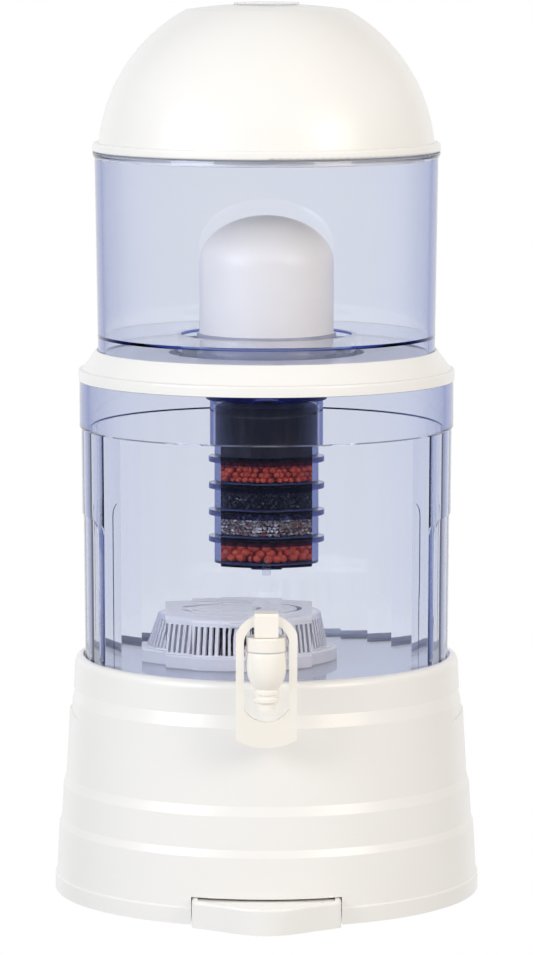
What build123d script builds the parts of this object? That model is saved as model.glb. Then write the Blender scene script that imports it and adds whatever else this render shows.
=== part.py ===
from build123d import *

import os
from math import cos, isclose, radians, sin, tan

# Gravity water filter: a clear upper tank with a ceramic dome, a clear lower tank with a hanging media
# cartridge and a lever tap, on a white banded stand with a drip tray.
# The origin is on the table at the stand's centre, +Z is up and the tap faces -Y. Sizes are in millimetres.

# Fits and walls
SEAT_GAP = 0.5  # round a piece that drops into another
RUN_GAP = 0.3  # between faces that slide or turn on each other
FIXED_GAP = 0.1  # round a pin, tail or spigot that stays put
PLASTIC_WALL = 3.0  # white mouldings
TANK_WALL = 4.6  # clear tanks, at a facet's middle
FACETS = 38  # flats inside the lower tank, with one facing the front

# Stand, from the table up
STAND_H = 160.0
STAND_FLARE = 20.0  # of the stand's foot beyond the lower tank
STAND_DRAFT = 0.057  # radius lost for each millimetre of height
BEAD_H = 10.5
BEAD_STEP = 1.1
STAND_BANDS = ((45.0, 5.0, 1.7), (72.0, 6.5, 1.85), (129.5, 8.5, 2.3))  # band top, ledge height, ledge step
RIM_ROUND = 5.5
RIM_DEPTH = 8.0  # how far the lower tank sinks into the rim
DECK_T = 3.0
GRIP_ARC = 21.0  # half angle of a side grip, seen from the axis
GRIP_DEPTH = 1.4
STAND_GRIP_H = 10.0
STAND_GRIP_ARCH = 3.0

# Drip tray
TRAY_W = 98.0
TRAY_H = 17.6
TRAY_PROUD = 28.0  # of the middle of the curved front beyond the stand's foot
TRAY_SHOULDER_PROUD = 4.0  # of the front corners beyond the stand's foot
TRAY_DEPTH = 52.0  # of the tray's back inside the stand's foot
TRAY_CORNER_R = 5.0
TRAY_FLANK_ANGLE = 30.0  # of the front beside the corners, from straight across
TRAY_WALL = 2.6
TRAY_RIM_W = 4.0
TRAY_RIM_ROUND = 2.0
TRAY_STEP = 1.0  # of the tray's floor below the rim, inside the stand
SCOOP_DEPTH = 7.0  # below the rim, at the front

# Lower tank
LOWER_R = 124.0
LOWER_DRAFT = 0.0075
LOWER_INNER_DRAFT = 0.0025
LOWER_BAND_H = 32.2  # thick band under the shoulder
LOWER_BAND_STEP = 1.1
LOWER_FLOOR_T = 4.0
FOOT_H = 1.0
FOOT_W = 8.0
NECK_H = 5.8
NECK_STEP = 2.5
PANEL_H = 97.0  # grip panels, above the stand's rim
PANEL_CORNER_R = 11.0
PANEL_DEPTH = 0.9
PANEL_ARC = 26.0  # half angle, seen from the axis

# Middle cover
COVER_OVERHANG = 0.6
COVER_LIP_RISE = 1.5  # of the lip's top above the lower tank
COVER_LIP_W = 2.6
COVER_LIP_ROUND = 1.4
COVER_CREASE = 0.6  # of the cone's foot above the lip
COVER_H = 14.5  # from the lower tank's neck to the cover's top edge
COVER_SEAT_DEPTH = 1.0
COVER_EDGE = 1.0
COVER_HOLE_ROOM = 5.3  # round the filter well

# Upper tank
UPPER_INSET = 10.3  # of the upper tank's foot from the lower tank's wall
UPPER_H = 134.5  # from the seat in the cover to the lid
UPPER_DRAFT = 0.0145
SKIRT_H = 9.6
UPPER_FLOOR_T = 2.2
WELL_ROOM = 10.7  # round the ceramic's base
WELL_DEPTH = 17.8
WELL_T = 3.0
UPPER_LIP_H = 4.5
UPPER_LIP_STEP = 1.5

# Lid
LID_INSET = 0.9  # of the dome's foot from the upper tank's wall
LID_BEAD_H = 6.3
LID_BEAD_ROUND = 2.0
CROWN_R = 54.0
CROWN_H = 95.0  # above the bead's foot
CROWN_RISE = 4.0
LID_SKIRT_H = 3.4
DISC_R = 22.0
DISC_T = 2.0
DISC_PROUD = 0.8

# Ceramic dome filter
CERAMIC_R = 45.2
CERAMIC_H = 79.0
CERAMIC_CAP_H = 31.5
CERAMIC_WALL = 7.0
BASE_H = 17.0
BASE_LIP = 1.8  # of the base beyond the ceramic
BASE_FOOT_H = 5.0
BASE_LIP_H = 2.5
BASE_WAIST_STEP = 1.0  # of the base's waist inside the ceramic
GASKET_R = 16.0
GASKET_T = 1.5
STEM_R = 8.0
STEM_BORE_R = 5.0
STEM_BELOW = 21.0  # below the well's floor
WASHER_R = 14.2
WASHER_T = 1.2
WING_NUT_H = 8.0
WING_NUT_R = 13.0
WING_SPAN = 44.0
WING_T = 4.0

# Cartridge
NECK_DROP = 10.2  # from the well's floor to the cartridge's neck
CAP_NECK_H = 8.8
CAP_NECK_R = 13.0
CAP_LIP = 2.6  # of the cap beyond the cups
CAP_T = 4.0
CAP_SPIGOT_H = 3.0
ORING_T = 2.0
CARBON_ROOM = 1.6  # between the carbon block and the chamber
CHAMBER_H = 38.5
CUP_WALL = 2.0
CUP_R = 38.2
CUP_PITCH = 18.1
CUP_FLOOR = 1.6
FLANGE_LIP = 1.8  # of a cup's flange beyond its wall
FLANGE_H = 3.6
PAD_T = 1.0
MEDIA = ("red_balls_small", "dark_granules", "mineral_sand", "red_balls_large")  # cup by cup, from the top
MEDIA_HEADROOM = 1.2
DRAIN_R = 2.2
DRAIN_COUNT = 8
DRAIN_RING_R = 11.0
OUTLET_R = 18.0
OUTLET_H = 3.5
OUTLET_RING_R = 8.0
TIP_R = 1.5
TIP_H = 6.0
TIP_CLEARANCE = 22.7  # above the mineral basket's lid

# Mineral basket
BASKET_X = -18.5
BASKET_FOOT_STEP = 3.0  # of the foot beyond the grille
BASKET_FOOT_H = 8.5
GRILLE_R = 59.5
GRILLE_TAPER = 2.0  # of the radius from the foot to the top
GRILLE_H = 21.4
GRILLE_WALL = 2.0
GRILLE_SLOTS = 120
SLOT_W = 1.5
SLOT_MARGIN = 1.2
BASKET_LID_T = 4.0
BASKET_LID_ROUND = 3.0
LID_SLOT_RADII = (40.0, 28.0, 16.0)
LID_SLOT_W = 1.8
LID_BRIDGE_W = 9.0
LID_TABS = 3
LID_TAB_L = 6.0
LID_TAB_T = 2.4
STONES_H = 18.0

# Tap, on the front of the lower tank
TAP_RISE = 17.0  # of the tap's tail above the stand's rim
SPOUT_STANDOFF = 38.0  # of the spout's axis from the tank's wall
PAD_R = 15.0
PAD_PROUD = 2.0
TAIL_R = 8.5
TAIL_BORE_R = 5.0
TAIL_REACH = 15.0  # of the tail inside the tank
TAP_FLANGE_R = 13.5
TAP_FLANGE_T = 3.0
TAP_WASHER_T = 1.5
TAP_NUT_T = 7.0
TAP_NUT_FLATS = 24.0
BULB_R = 13.2
BULB_TOP_R = 12.5
BULB_NECK_R = 7.4
BULB_WIDE_RISE = 1.0  # of the bulb's widest ring above the tail
BULB_RISE = 8.5  # of the bulb's top above the tail
BULB_DROP = 16.0  # of the bulb's neck below the tail
BULB_TOP_FLARE = 0.25  # sideways for each millimetre down
BULB_NECK_TAPER = 0.9
CHAMBER_BORE_R = 8.0
SEAT_DROP = 11.5  # of the valve seat below the tail
OUTLET_BORE_R = 4.0
BONNET_R = 13.0
BONNET_H = 9.0
BONNET_ROUND = 1.0
BONNET_GASKET_T = 1.0
SPIGOT_R = 5.2
SPIGOT_H = 8.0
NOZZLE_RING_R = 8.1
NOZZLE_NECK_R = 7.0
NOZZLE_RING_H = 3.6
NOZZLE_RING_ROUND = 0.9
NOZZLE_GROOVE_H = 1.4
NOZZLE_R = 5.9
NOZZLE_H = 13.4
NOZZLE_BORE_R = 3.6
STEM_ROD_R = 3.0
SEAL_R = 6.2
SEAL_H = 6.0
SEAL_CHAMFER = 1.5
EYE_T = 4.0
EYE_H = 8.5
EYE_L = 10.0
EYE_ROUND = 1.5
EYE_PLAY = 2.6  # along the eye's slot, for the pin's swing
EYE_ROOM = 0.6  # round the eye inside the lever's block
PIN_R = 1.6
PIN_RISE = 7.5  # of the lever's pin above the bonnet
FULCRUM_RISE = 1.7  # of the lever's nose above the bonnet
FULCRUM_REACH = 9.0  # of the lever's nose ahead of the spout's axis
NOSE_R = 2.0
LEVER_ROOM = 1.4  # between the bulb and each arm
LEVER_ARM_W = 5.3
LEVER_T = 5.5
LEVER_TOP_RISE = 15.5  # of the lever above the bonnet
LEVER_DROP = 74.2  # of the paddle below the bonnet
PADDLE_H = 17.3
LEVER_ARCH = 13.5
PADDLE_ROUND = 5.6
OPENING_ROUND = 8.9
LEVER_SWEEP = 13.0  # how far the paddle lies behind the lever's top
LEVER_CORNER_R = 2.5
LEVER_SETBACK = 2.0  # of the lever's top behind the block's front
BEND_SWEEP = 7.2  # how far the bend lies behind the lever's top
BEND_DROP = 35.0  # of the bend in the arms below the bonnet
BLOCK_W = 15.5
BLOCK_L = 16.0
BLOCK_PROUD = 0.5
BLOCK_CHAMFER = 1.5

# Radii and reaches that follow from the lower tank, the ceramic dome, the cups and the basket's grille
STAND_BASE_R = LOWER_R + STAND_FLARE
TRAY_FRONT = STAND_BASE_R + TRAY_PROUD
TRAY_SHOULDER = STAND_BASE_R + TRAY_SHOULDER_PROUD
TRAY_BACK = STAND_BASE_R - TRAY_DEPTH
UPPER_R = LOWER_R - UPPER_INSET
LID_DOME_R = UPPER_R - LID_INSET
SPOUT_REACH = LOWER_R + SPOUT_STANDOFF
LEVER_W = 2 * (BULB_R + LEVER_ROOM + LEVER_ARM_W)
BASE_FOOT_R = CERAMIC_R + BASE_LIP
WELL_R = BASE_FOOT_R + WELL_ROOM
COVER_HOLE_R = WELL_R + WELL_T + COVER_HOLE_ROOM
CAP_R = CUP_R + CAP_LIP
FLANGE_R = CUP_R + FLANGE_LIP
CARBON_R = CUP_R - CUP_WALL - CARBON_ROOM
BASKET_FOOT_R = GRILLE_R + BASKET_FOOT_STEP
GRILLE_TOP_R = GRILLE_R - GRILLE_TAPER

# Heights from the table up: the lower tank is as tall as the cartridge needs above the basket
DECK_Z = STAND_H - RIM_DEPTH
LOWER_FLOOR_Z = DECK_Z + FOOT_H + LOWER_FLOOR_T
BASKET_TOP_Z = LOWER_FLOOR_Z + BASKET_FOOT_H + GRILLE_H
OUTLET_Z = BASKET_TOP_Z + BASKET_LID_T + TIP_CLEARANCE + TIP_H
CHAMBER_Z = OUTLET_Z + OUTLET_H + len(MEDIA) * CUP_PITCH
CHAMBER_TOP_Z = CHAMBER_Z + CHAMBER_H
CAP_TOP_Z = CHAMBER_TOP_Z + CAP_T
NECK_TOP_Z = CAP_TOP_Z + CAP_NECK_H
WELL_UNDER_Z = NECK_TOP_Z + NECK_DROP
WELL_FLOOR_Z = WELL_UNDER_Z + WELL_T
BASE_Z = WELL_FLOOR_Z + GASKET_T
CERAMIC_Z = BASE_Z + BASE_H
UPPER_FLOOR_Z = WELL_FLOOR_Z + WELL_DEPTH
COVER_SEAT_Z = UPPER_FLOOR_Z - UPPER_FLOOR_T - SKIRT_H
COVER_TOP_Z = COVER_SEAT_Z + COVER_SEAT_DEPTH
LOWER_TOP_Z = COVER_TOP_Z - COVER_H
SHOULDER_Z = LOWER_TOP_Z - NECK_H
UPPER_TOP_Z = COVER_SEAT_Z + UPPER_H
TAP_Z = STAND_H + TAP_RISE
BULB_TOP_Z = TAP_Z + BULB_RISE
BONNET_Z = BULB_TOP_Z + BONNET_GASKET_T
BONNET_TOP_Z = BONNET_Z + BONNET_H
NOZZLE_TOP_Z = TAP_Z - BULB_DROP
SEAT_Z = TAP_Z - SEAT_DROP
PIN_Z = BONNET_TOP_Z + PIN_RISE
FULCRUM_Y = -SPOUT_REACH - FULCRUM_REACH
FULCRUM_Z = BONNET_TOP_Z + FULCRUM_RISE

# Planes and axes of the pieces that stand off the main axis
SPOUT_PLANE = Plane(origin=(0, -SPOUT_REACH, 0), x_dir=(1, 0, 0), z_dir=(0, -1, 0))
SPOUT_AXIS = Axis((0, -SPOUT_REACH, 0), (0, 0, 1))
BASKET_PLANE = Plane(origin=(BASKET_X, 0, 0), x_dir=(1, 0, 0), z_dir=(0, -1, 0))
BASKET_AXIS = Axis((BASKET_X, 0, 0), (0, 0, 1))

os.makedirs("parts", exist_ok=True)


def section(*points, plane=Plane.XZ):
    """A flat section drawn through the points, in the plane's own coordinates."""
    with BuildSketch(plane) as drawn:
        with BuildLine():
            Polyline(*points, close=True)
        make_face()
    return drawn.sketch.faces()


def make_ring(name, outer_r, inner_r, foot_z, height, centre=(0, 0)):
    """A flat ring or washer, written under its own name."""
    with BuildPart() as ring:
        with BuildSketch(Plane.XY.offset(foot_z)):
            with Locations(centre):
                Circle(outer_r)
                Circle(inner_r, mode=Mode.SUBTRACT)
        extrude(amount=height)
    ring.part.label = name
    export_step(ring.part, f"parts/{name}.step")


def make_bed(name, radius, foot_z, height):
    """A round bed of loose filter media, a pad or a block, written under its own name."""
    with BuildPart() as bed:
        with BuildSketch(Plane.XY.offset(foot_z)):
            Circle(radius)
        extrude(amount=height)
    bed.part.label = name
    export_step(bed.part, f"parts/{name}.step")


def circles(edges, radius):
    """The round edges of one radius, from the lowest up."""
    round_edges = edges.filter_by(GeomType.CIRCLE)
    return round_edges.filter_by(lambda edge: isclose(edge.radius, radius)).sort_by(Axis.Z)


def lower_outer_r(z):
    """Radius of the lower tank's smooth outside at a height."""
    return LOWER_R + LOWER_DRAFT * (z - DECK_Z)


def upper_outer_r(z):
    """Radius of the upper tank's smooth outside at a height."""
    return UPPER_R + UPPER_DRAFT * (z - COVER_SEAT_Z)


def side_grip(outer_r, half_arc, foot_z, top_z, corner_r, arch):
    """A cutter for the two shallow side grips, with its top corners rounded or its foot arched."""
    half_width = outer_r * sin(radians(half_arc))
    with BuildPart() as grip:
        with BuildSketch(Plane.YZ):
            with BuildLine():
                if arch:
                    SagittaArc((-half_width, foot_z), (half_width, foot_z), arch)
                else:
                    Line((-half_width, foot_z), (half_width, foot_z))
                Polyline(
                    (half_width, foot_z),
                    (half_width, top_z),
                    (-half_width, top_z),
                    (-half_width, foot_z),
                )
            make_face()
            if corner_r:
                fillet(vertices().group_by(Axis.Y)[-1], corner_r)
        extrude(amount=2 * outer_r, both=True)
    return grip.part


# Stand: one white moulding in four stepped bands, hollow underneath, with a deck under the tank, a pocket
# that guides the drip tray and a shallow grip on each side.
stand_outline = [(STAND_BASE_R, 0), (STAND_BASE_R, BEAD_H), (STAND_BASE_R - BEAD_STEP, BEAD_H + BEAD_STEP)]
for band_top, ledge_height, ledge_step in STAND_BANDS:
    last_r, last_z = stand_outline[-1]
    band_r = last_r - STAND_DRAFT * (band_top - last_z)
    stand_outline += [(band_r, band_top), (band_r - ledge_step, band_top + ledge_height)]
last_r, last_z = stand_outline[-1]
rim_r = last_r - STAND_DRAFT * (STAND_H - RIM_ROUND - last_z)
rim_inner_r = LOWER_R + LOWER_DRAFT * RIM_DEPTH + SEAT_GAP
rim_flat_r = max(rim_r - RIM_ROUND, rim_inner_r + SEAT_GAP)
deck_under_z = DECK_Z - DECK_T
pocket_half_w = TRAY_W / 2 + SEAT_GAP
pocket_h = TRAY_H + SEAT_GAP
pocket_back = TRAY_BACK - SEAT_GAP

with BuildPart() as stand_hollow:
    inner_wall = [(r - PLASTIC_WALL, z) for r, z in stand_outline if z < deck_under_z - PLASTIC_WALL]
    top_r = rim_r - PLASTIC_WALL + STAND_DRAFT * (STAND_H - RIM_ROUND - deck_under_z)
    revolve(section((0, 0), *inner_wall, (top_r, deck_under_z), (0, deck_under_z)), axis=Axis.Z)
    with BuildSketch(Plane.XY):
        with Locations((0, -STAND_BASE_R)):
            Rectangle(
                2 * (pocket_half_w + TRAY_WALL),
                2 * (STAND_BASE_R - pocket_back + TRAY_WALL),
            )
    extrude(amount=pocket_h + TRAY_WALL, mode=Mode.SUBTRACT)
    with BuildSketch(Plane.XY):
        with Locations((0, -STAND_BASE_R)):
            Rectangle(2 * pocket_half_w, 2 * (STAND_BASE_R - pocket_back))
    extrude(amount=pocket_h)

grip_z = STAND_BANDS[-1][0]
grip_r = stand_outline[-2][0]
grip_top_z = grip_z + STAND_BANDS[-1][1]
stand_grips = side_grip(grip_r, GRIP_ARC, grip_z - STAND_GRIP_H, grip_top_z, 0, STAND_GRIP_ARCH)
with BuildPart() as stand_core:
    core_points = [(r - GRIP_DEPTH, z) for r, z in stand_outline]
    revolve(section((0, 0), *core_points, (core_points[-1][0], STAND_H), (0, STAND_H)), axis=Axis.Z)

with BuildPart() as stand:
    with BuildSketch(Plane.XZ):
        with BuildLine():
            Polyline((0, 0), *stand_outline, (rim_r, STAND_H - RIM_ROUND))
            Spline(
                (rim_r, STAND_H - RIM_ROUND),
                (rim_flat_r, STAND_H),
                tangents=((-STAND_DRAFT, 1), (-1, 0)),
            )
            Polyline(
                (rim_flat_r, STAND_H),
                (rim_inner_r, STAND_H),
                (rim_inner_r, DECK_Z),
                (0, DECK_Z),
                (0, 0),
            )
        make_face()
    revolve(axis=Axis.Z)
    add(stand_grips - stand_core.part, mode=Mode.SUBTRACT)
    add(stand_hollow.part, mode=Mode.SUBTRACT)
stand.part.label = "stand"
export_step(stand.part, "parts/stand.step")

# Drip tray: a white tray with a bowed front and a shallow scoop under the spout, hollow underneath, which
# stands on the table and pulls out of the stand's pocket.
def tray_plan(inset, foot_z):
    """The tray's plan, drawn in from its outside by the inset."""
    half_w = TRAY_W / 2 - inset
    corner_r = TRAY_CORNER_R - inset
    shoulder_y = inset - TRAY_SHOULDER
    back_y = -TRAY_BACK - inset
    corner_x = half_w - corner_r
    corner_y = shoulder_y + corner_r
    turn = 90 - TRAY_FLANK_ANGLE
    flank_x = corner_x + corner_r * cos(radians(turn))
    flank_y = corner_y - corner_r * sin(radians(turn))
    flank_slope = tan(radians(TRAY_FLANK_ANGLE))
    with BuildSketch(Plane.XY.offset(foot_z)) as plan:
        with BuildLine():
            CenterArc((-corner_x, corner_y), corner_r, 180, turn)
            Spline(
                (-flank_x, flank_y),
                (0, inset - TRAY_FRONT),
                (flank_x, flank_y),
                tangents=((1, -flank_slope), (1, 0), (1, flank_slope)),
            )
            CenterArc((corner_x, corner_y), corner_r, -turn, turn)
            Polyline((half_w, corner_y), (half_w, back_y), (-half_w, back_y), (-half_w, corner_y))
        make_face()
    return plan.sketch.faces()


def tray_hollow(inset, floor_drop, far_z):
    """A cutter inside the tray, from its scooped floor, lowered by the drop, to a far height."""
    floor_z = TRAY_H - TRAY_STEP - floor_drop
    scoop_z = TRAY_H - SCOOP_DEPTH - floor_drop
    floor_line = ((-TRAY_BACK, floor_z), (-STAND_BASE_R, floor_z), (-TRAY_FRONT, scoop_z))
    with BuildPart() as hollow_cut:
        extrude(tray_plan(inset, 0), amount=TRAY_H)
        side = section(*floor_line, (-TRAY_FRONT, far_z), (-TRAY_BACK, far_z), plane=Plane.YZ)
        extrude(side, amount=TRAY_W, both=True, mode=Mode.INTERSECT)
    return hollow_cut.part


with BuildPart() as drip_tray:
    extrude(tray_plan(0, 0), amount=TRAY_H)
    fillet(drip_tray.faces().sort_by(Axis.Z)[-1].outer_wire().edges(), TRAY_RIM_ROUND)
    add(tray_hollow(TRAY_RIM_W, 0, TRAY_H), mode=Mode.SUBTRACT)
    add(tray_hollow(TRAY_WALL, TRAY_WALL, 0), mode=Mode.SUBTRACT)
drip_tray.part.label = "drip_tray"
export_step(drip_tray.part, "parts/drip_tray.step")

# Lower tank: one clear moulding on a foot ring, round outside and faceted inside up to a thick band, which
# ends in the shoulder and neck that carry the cover. The front has a flat boss for the tap, and each side a
# shallow grip panel.
lower_under_z = DECK_Z + FOOT_H
band_z = SHOULDER_Z - LOWER_BAND_H
band_r = lower_outer_r(band_z) + LOWER_BAND_STEP
neck_r = band_r - NECK_STEP
lower_inner_r = LOWER_R + LOWER_DRAFT * FOOT_H - TANK_WALL
facet_top_r = lower_inner_r + LOWER_INNER_DRAFT * (band_z - LOWER_FLOOR_Z)
facet_turn = 180 / FACETS
tap_pad_y = lower_outer_r(TAP_Z) + PAD_PROUD
tap_pad_inner_y = lower_inner_r - PAD_PROUD

with BuildPart() as lower_panel_core:
    core_foot_r = lower_outer_r(DECK_Z) - PANEL_DEPTH
    core_top_r = lower_outer_r(SHOULDER_Z) - PANEL_DEPTH
    revolve(
        section((0, DECK_Z), (core_foot_r, DECK_Z), (core_top_r, SHOULDER_Z), (0, SHOULDER_Z)),
        axis=Axis.Z,
    )

with BuildPart() as lower_tank:
    revolve(
        section(
            (0, lower_under_z),
            (LOWER_R - 2 * FOOT_W, lower_under_z),
            (LOWER_R - 2 * FOOT_W, DECK_Z),
            (LOWER_R - FOOT_W, DECK_Z),
            (LOWER_R - FOOT_W, lower_under_z),
            (LOWER_R - FOOT_H, lower_under_z),
            (LOWER_R, lower_under_z + FOOT_H),
            (lower_outer_r(band_z), band_z),
            (band_r, band_z + LOWER_BAND_STEP),
            (band_r, SHOULDER_Z),
            (neck_r, SHOULDER_Z),
            (neck_r, LOWER_TOP_Z),
            (0, LOWER_TOP_Z),
        ),
        axis=Axis.Z,
    )
    with BuildSketch(Plane.XY.offset(LOWER_FLOOR_Z)):
        RegularPolygon(lower_inner_r, FACETS, major_radius=False, rotation=facet_turn - 90)
    with BuildSketch(Plane.XY.offset(band_z)):
        RegularPolygon(facet_top_r, FACETS, major_radius=False, rotation=facet_turn - 90)
    loft(ruled=True, mode=Mode.SUBTRACT)
    with BuildSketch(Plane.XY.offset(band_z)):
        Circle(facet_top_r / cos(radians(facet_turn)))
    extrude(amount=LOWER_TOP_Z - band_z, mode=Mode.SUBTRACT)
    panels = side_grip(LOWER_R, PANEL_ARC, DECK_Z, STAND_H + PANEL_H, PANEL_CORNER_R, 0)
    add(panels - lower_panel_core.part, mode=Mode.SUBTRACT)
    with BuildSketch(Plane.XZ.offset(tap_pad_y)):
        with Locations((0, TAP_Z)):
            Circle(PAD_R)
    extrude(amount=tap_pad_inner_y - tap_pad_y)
    with BuildSketch(Plane.XZ.offset(tap_pad_y)):
        with Locations((0, TAP_Z)):
            Circle(TAIL_R + SEAT_GAP)
    extrude(amount=tap_pad_inner_y - tap_pad_y, mode=Mode.SUBTRACT)
lower_tank.part.label = "lower_tank"
export_step(lower_tank.part, "parts/lower_tank.step")

# Mineral basket: a footed base, a slotted wall and a slotted lid that twists off, filled with dark stones.
basket_wall_z = LOWER_FLOOR_Z + BASKET_FOOT_H
with BuildPart() as basket_base:
    revolve(
        section(
            (0, LOWER_FLOOR_Z),
            (BASKET_FOOT_R, LOWER_FLOOR_Z),
            (BASKET_FOOT_R, basket_wall_z - GRILLE_WALL / 2),
            (BASKET_FOOT_R - GRILLE_WALL / 2, basket_wall_z),
            (GRILLE_R - 2 * GRILLE_WALL, basket_wall_z),
            (GRILLE_R - 2 * GRILLE_WALL, LOWER_FLOOR_Z + GRILLE_WALL),
            (0, LOWER_FLOOR_Z + GRILLE_WALL),
            plane=BASKET_PLANE,
        ),
        axis=BASKET_AXIS,
    )
basket_base.part.label = "basket_base"
export_step(basket_base.part, "parts/basket_base.step")

with BuildPart() as basket_grille:
    revolve(
        section(
            (GRILLE_R - GRILLE_WALL, basket_wall_z),
            (GRILLE_R, basket_wall_z),
            (GRILLE_TOP_R, BASKET_TOP_Z),
            (GRILLE_TOP_R - GRILLE_WALL, BASKET_TOP_Z),
            plane=BASKET_PLANE,
        ),
        axis=BASKET_AXIS,
    )
    with BuildSketch(Plane.XY.offset(basket_wall_z + SLOT_MARGIN)):
        with Locations((BASKET_X, 0)):
            with PolarLocations(GRILLE_R - GRILLE_WALL, GRILLE_SLOTS):
                Rectangle(4 * GRILLE_WALL, SLOT_W)
    extrude(amount=GRILLE_H - 2 * SLOT_MARGIN, mode=Mode.SUBTRACT)
basket_grille.part.label = "basket_grille"
export_step(basket_grille.part, "parts/basket_grille.step")

with BuildPart() as basket_lid:
    with BuildSketch(Plane.XY.offset(BASKET_TOP_Z)):
        with Locations((BASKET_X, 0)):
            Circle(GRILLE_TOP_R)
    extrude(amount=BASKET_LID_T)
    fillet(basket_lid.edges().group_by(Axis.Z)[-1], BASKET_LID_ROUND)
    with BuildSketch(Plane.XY.offset(BASKET_TOP_Z)):
        with Locations((BASKET_X, 0)):
            with PolarLocations(GRILLE_TOP_R, LID_TABS, start_angle=-90):
                Rectangle(LID_TAB_L, LID_BRIDGE_W)
    extrude(amount=LID_TAB_T)
    with BuildSketch(Plane.XY.offset(BASKET_TOP_Z)):
        with Locations((BASKET_X, 0)):
            for slot_r in LID_SLOT_RADII:
                Circle(slot_r + LID_SLOT_W / 2)
                Circle(slot_r - LID_SLOT_W / 2, mode=Mode.SUBTRACT)
            with PolarLocations(GRILLE_TOP_R / 2, LID_TABS, start_angle=-60):
                Rectangle(GRILLE_TOP_R, LID_BRIDGE_W, mode=Mode.SUBTRACT)
    extrude(amount=BASKET_LID_T, mode=Mode.SUBTRACT)
basket_lid.part.label = "basket_lid"
export_step(basket_lid.part, "parts/basket_lid.step")

with BuildPart() as mineral_stones:
    stones_r = GRILLE_TOP_R - 2 * GRILLE_WALL - SEAT_GAP
    stones_z = LOWER_FLOOR_Z + GRILLE_WALL
    revolve(
        section(
            (0, stones_z),
            (stones_r - GRILLE_WALL, stones_z),
            (stones_r, stones_z + GRILLE_WALL),
            (stones_r, stones_z + STONES_H),
            (0, stones_z + STONES_H),
            plane=BASKET_PLANE,
        ),
        axis=BASKET_AXIS,
    )
mineral_stones.part.label = "mineral_stones"
export_step(mineral_stones.part, "parts/mineral_stones.step")

# Tap body: an egg-shaped valve body with a flanged tail that goes through the tank wall.
tap_flange_y = tap_pad_y + TAP_WASHER_T
tail_end_y = tap_pad_inner_y - TAIL_REACH
with BuildPart() as tap_body:
    with BuildSketch(SPOUT_PLANE):
        with BuildLine():
            Line((0, BULB_TOP_Z), (BULB_TOP_R, BULB_TOP_Z))
            Spline(
                (BULB_TOP_R, BULB_TOP_Z),
                (BULB_R, TAP_Z + BULB_WIDE_RISE),
                (BULB_NECK_R, NOZZLE_TOP_Z),
                tangents=((BULB_TOP_FLARE, -1), (0, -1), (-BULB_NECK_TAPER, -1)),
            )
            Polyline(
                (BULB_NECK_R, NOZZLE_TOP_Z),
                (SPIGOT_R, NOZZLE_TOP_Z),
                (SPIGOT_R, NOZZLE_TOP_Z - SPIGOT_H),
                (0, NOZZLE_TOP_Z - SPIGOT_H),
                (0, BULB_TOP_Z),
            )
        make_face()
    revolve(axis=SPOUT_AXIS)
    with BuildSketch(Plane.XZ.offset(SPOUT_REACH)):
        with Locations((0, TAP_Z)):
            Circle(TAIL_R)
    extrude(amount=tail_end_y - SPOUT_REACH)
    with BuildSketch(Plane.XZ.offset(tap_flange_y)):
        with Locations((0, TAP_Z)):
            Circle(TAP_FLANGE_R)
    extrude(amount=TAP_FLANGE_T)
    with BuildSketch(Plane.XZ.offset(SPOUT_REACH)):
        with Locations((0, TAP_Z)):
            Circle(TAIL_BORE_R)
    extrude(amount=tail_end_y - SPOUT_REACH, mode=Mode.SUBTRACT)
    with BuildSketch(Plane.XY.offset(SEAT_Z)):
        with Locations((0, -SPOUT_REACH)):
            Circle(CHAMBER_BORE_R)
    extrude(amount=BULB_TOP_Z - SEAT_Z, mode=Mode.SUBTRACT)
    with BuildSketch(Plane.XY.offset(NOZZLE_TOP_Z - SPIGOT_H)):
        with Locations((0, -SPOUT_REACH)):
            Circle(OUTLET_BORE_R)
    extrude(amount=SEAT_Z - NOZZLE_TOP_Z + SPIGOT_H, mode=Mode.SUBTRACT)
tap_body.part.label = "tap_body"
export_step(tap_body.part, "parts/tap_body.step")

# Tap fixings: a soft washer on each side of the wall and a nut inside the tank.
for washer_name, washer_y in (
    ("tap_outer_washer", tap_pad_y),
    ("tap_inner_washer", tap_pad_inner_y - TAP_WASHER_T),
):
    with BuildPart() as washer:
        with BuildSketch(Plane.XZ.offset(washer_y)):
            with Locations((0, TAP_Z)):
                Circle(TAP_FLANGE_R)
                Circle(TAIL_R + FIXED_GAP, mode=Mode.SUBTRACT)
        extrude(amount=TAP_WASHER_T)
    washer.part.label = washer_name
    export_step(washer.part, f"parts/{washer_name}.step")

with BuildPart() as tap_nut:
    with BuildSketch(Plane.XZ.offset(tap_pad_inner_y - TAP_WASHER_T - TAP_NUT_T)):
        with Locations((0, TAP_Z)):
            RegularPolygon(TAP_NUT_FLATS / 2, 6, major_radius=False)
            Circle(TAIL_R + FIXED_GAP, mode=Mode.SUBTRACT)
    extrude(amount=TAP_NUT_T)
tap_nut.part.label = "tap_nut"
export_step(tap_nut.part, "parts/tap_nut.step")

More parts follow.
